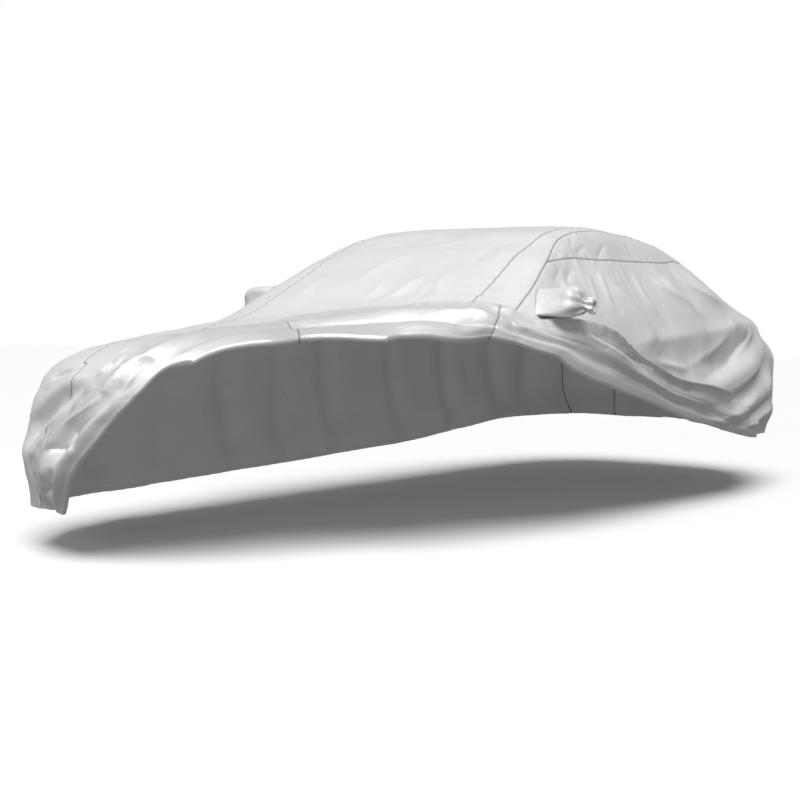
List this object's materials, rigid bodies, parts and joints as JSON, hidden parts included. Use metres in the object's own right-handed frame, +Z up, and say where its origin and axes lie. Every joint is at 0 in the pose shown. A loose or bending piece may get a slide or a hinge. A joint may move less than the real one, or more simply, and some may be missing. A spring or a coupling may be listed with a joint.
{
  "type": "car cover",
  "caption": "Fitted silver fabric cover for a large sedan, hanging hollow in place, with its front left skirt folded back over the bonnet and the doors.",
  "frame": {"origin": "under the roof cloth on the centre line, where the vehicle's roof holds the cover up", "axes": "+Z up, -Y towards the front of the vehicle, +X towards its left side"},
  "size_m": [2.0721, 5.3895, 1.3515],
  "materials": {
    "silver_cloth": "satin silver coating"
  },
  "bodies": {
    "root": {"centre_panel": "silver_cloth", "left_pillar_strip": "silver_cloth", "right_pillar_strip": "silver_cloth", "left_window_strip": "silver_cloth", "right_window_strip": "silver_cloth", "left_side_panel": "silver_cloth", "right_side_panel": "silver_cloth", "left_mirror_pocket": "silver_cloth", "right_mirror_pocket": "silver_cloth"}
  },
  "joints": []
}
